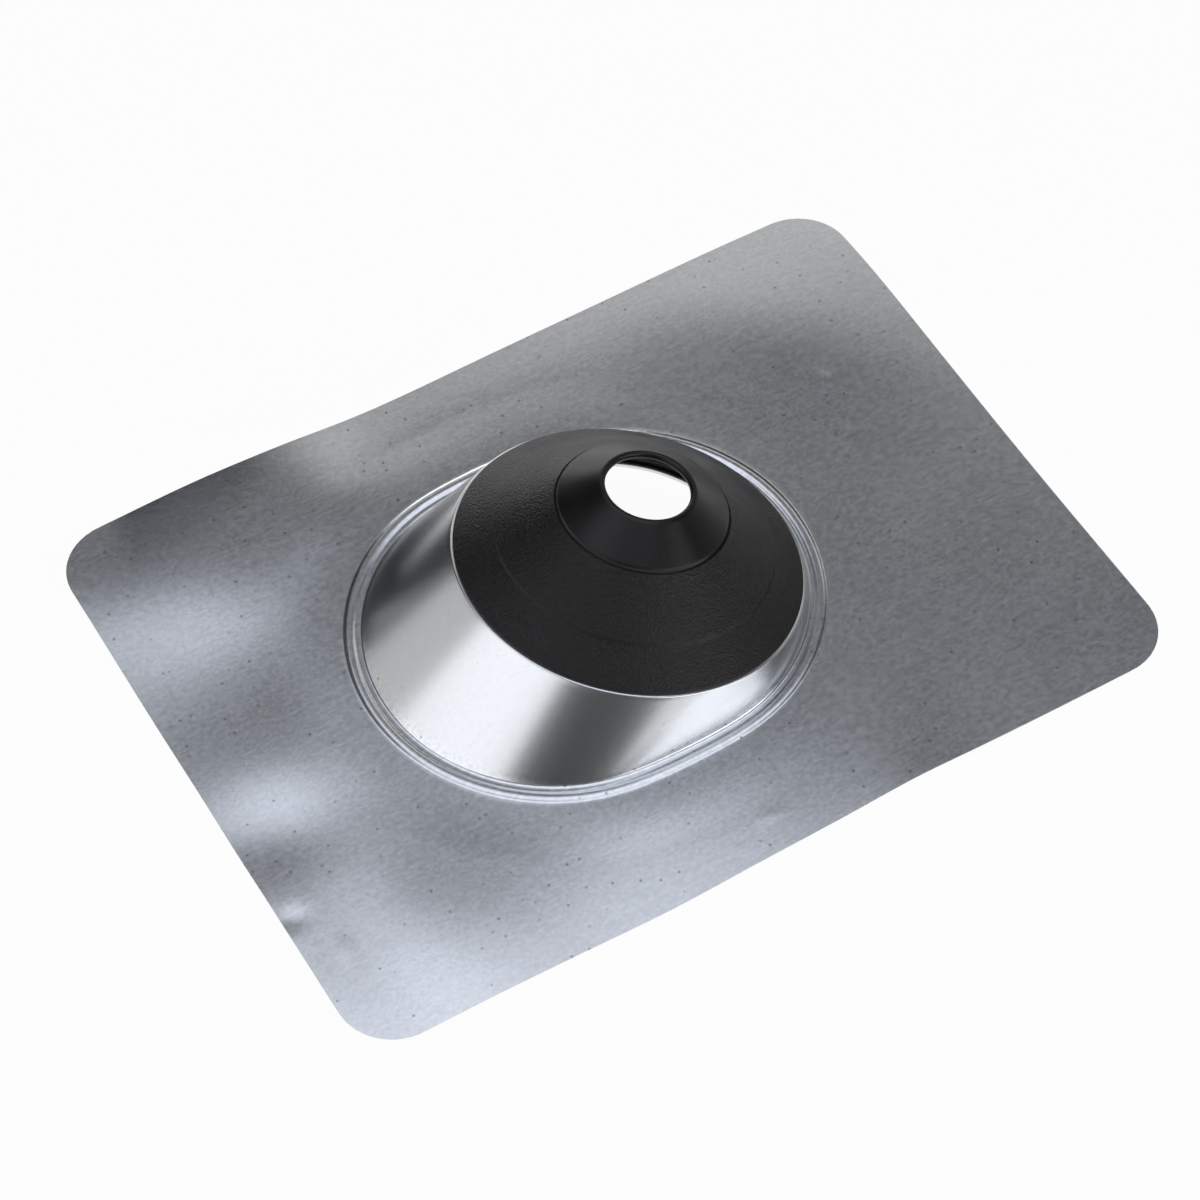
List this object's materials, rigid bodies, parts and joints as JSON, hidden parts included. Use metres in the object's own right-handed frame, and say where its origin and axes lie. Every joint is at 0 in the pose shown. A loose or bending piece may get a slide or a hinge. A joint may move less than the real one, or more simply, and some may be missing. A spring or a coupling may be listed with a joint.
{
  "type": "pipe flashing boot",
  "caption": "Roof flashing plate with a leaning drawn bell and a stepped rubber collar that seals round a vent pipe coming up through the roof.",
  "frame": {"origin": "middle of the plate on its flat underside", "axes": "+X along the plate's length, up the roof slope and the way the collar's mouth leans; +Z out of the roof; +Y across the roof"},
  "size_m": [0.3682, 0.273, 0.0657],
  "materials": {
    "galvanised_sheet": "bright galvanised sheet, lightly dulled, with a fine speckle and soft waves from pressing",
    "collar_rubber": "matt black moulded rubber, pebbled on the middle band"
  },
  "bodies": {
    "root": {"steel_base": "galvanised_sheet", "rubber_collar": "collar_rubber"}
  },
  "joints": []
}
